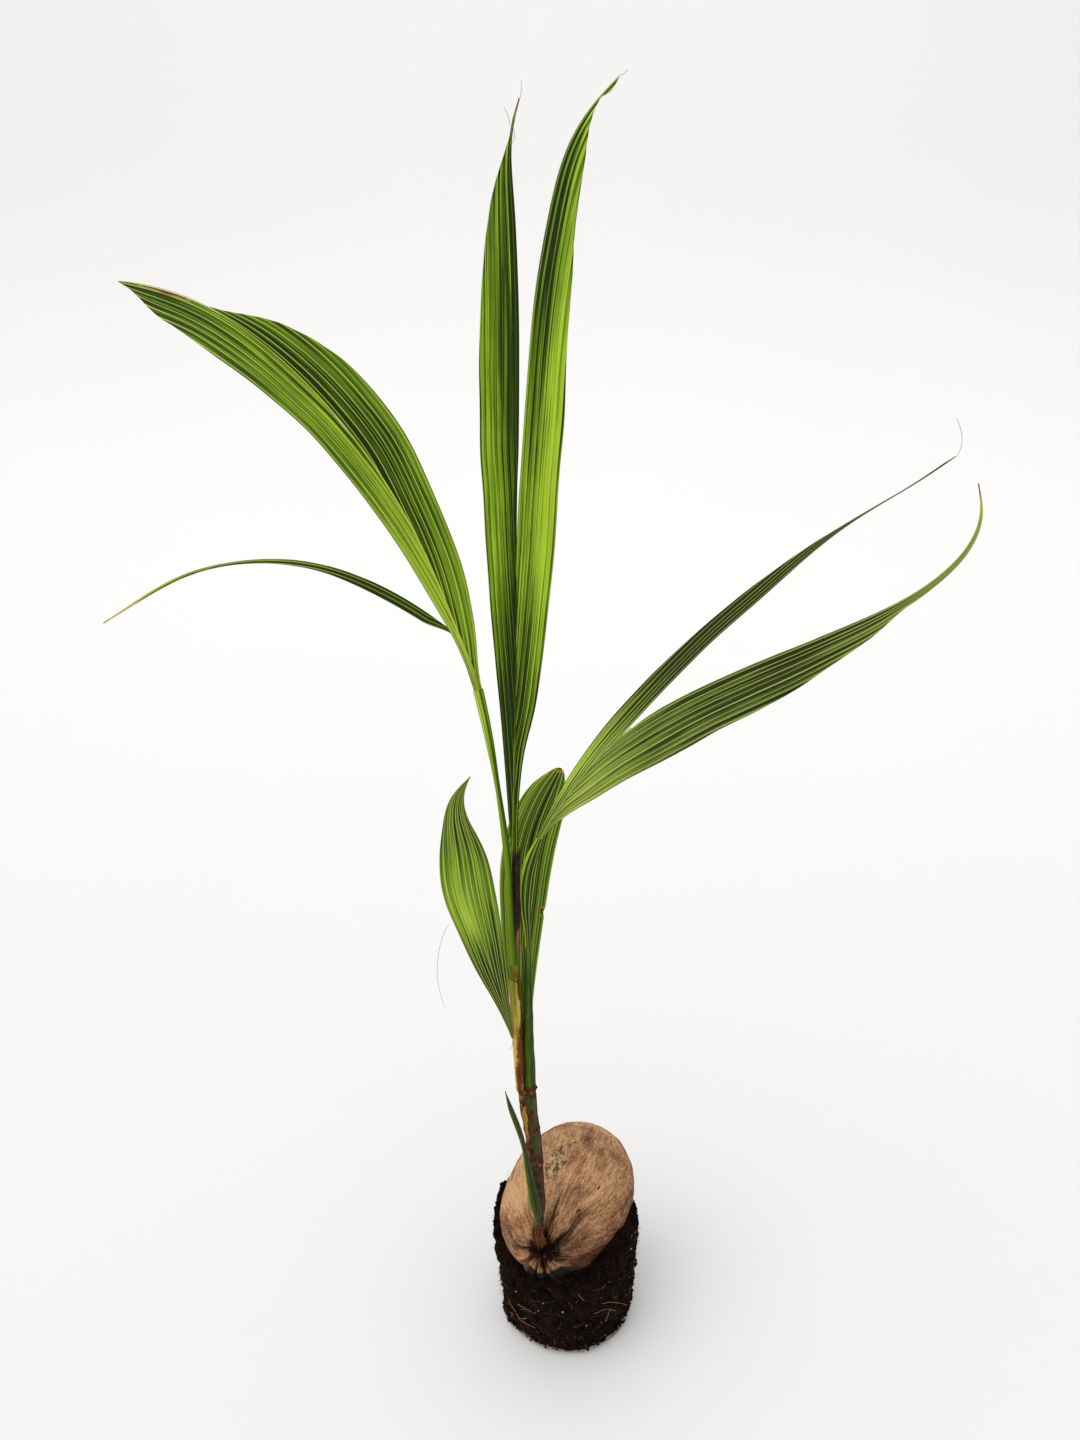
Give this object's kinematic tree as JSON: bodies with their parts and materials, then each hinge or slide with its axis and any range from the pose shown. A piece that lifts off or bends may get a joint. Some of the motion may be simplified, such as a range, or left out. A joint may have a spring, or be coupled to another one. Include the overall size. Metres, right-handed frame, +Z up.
{
  "type": "sprouted coconut palm seedling on its root ball",
  "caption": "Young coconut palm growing from a husked nut on a bare pot-shaped root ball, with pleated forked fronds and a short ringed stem.",
  "frame": {"origin": "centre of the root ball's flat underside, which stands on the floor", "axes": "+Z up along the plant, +X to the right and +Y to the back of the side that the fronds spread across"},
  "size_m": [0.7655, 0.2508, 1.2942],
  "materials": {
    "soil": "crumbly dark brown potting soil bound by fine roots",
    "husk": "dry tan coconut husk with long fibres",
    "bark": "brown scaly sheath with green and yellow patches",
    "stalk": "smooth yellow-green leaf stalk",
    "fibre": "dark brown fibrous sheath",
    "leaf": "pleated satin green leaf with pale veins"
  },
  "bodies": {
    "root": {"root_ball": "soil", "coconut_husk": "husk", "lower_stem": "bark", "stem_ring": "bark", "left_sheath": "stalk", "right_sheath": "stalk", "fibre_sheath": "fibre", "left_frond_stalk": "stalk", "right_frond_stalk": "stalk", "left_frond_near_half": "leaf", "left_frond_far_half": "leaf", "left_frond_strap": "leaf", "centre_frond_left_lobe": "leaf", "centre_frond_right_lobe": "leaf", "right_frond_lower_lobe": "leaf", "right_frond_upper_lobe": "leaf", "low_left_leaf": "leaf", "low_right_leaf": "leaf", "first_leaf": "leaf"}
  },
  "joints": []
}
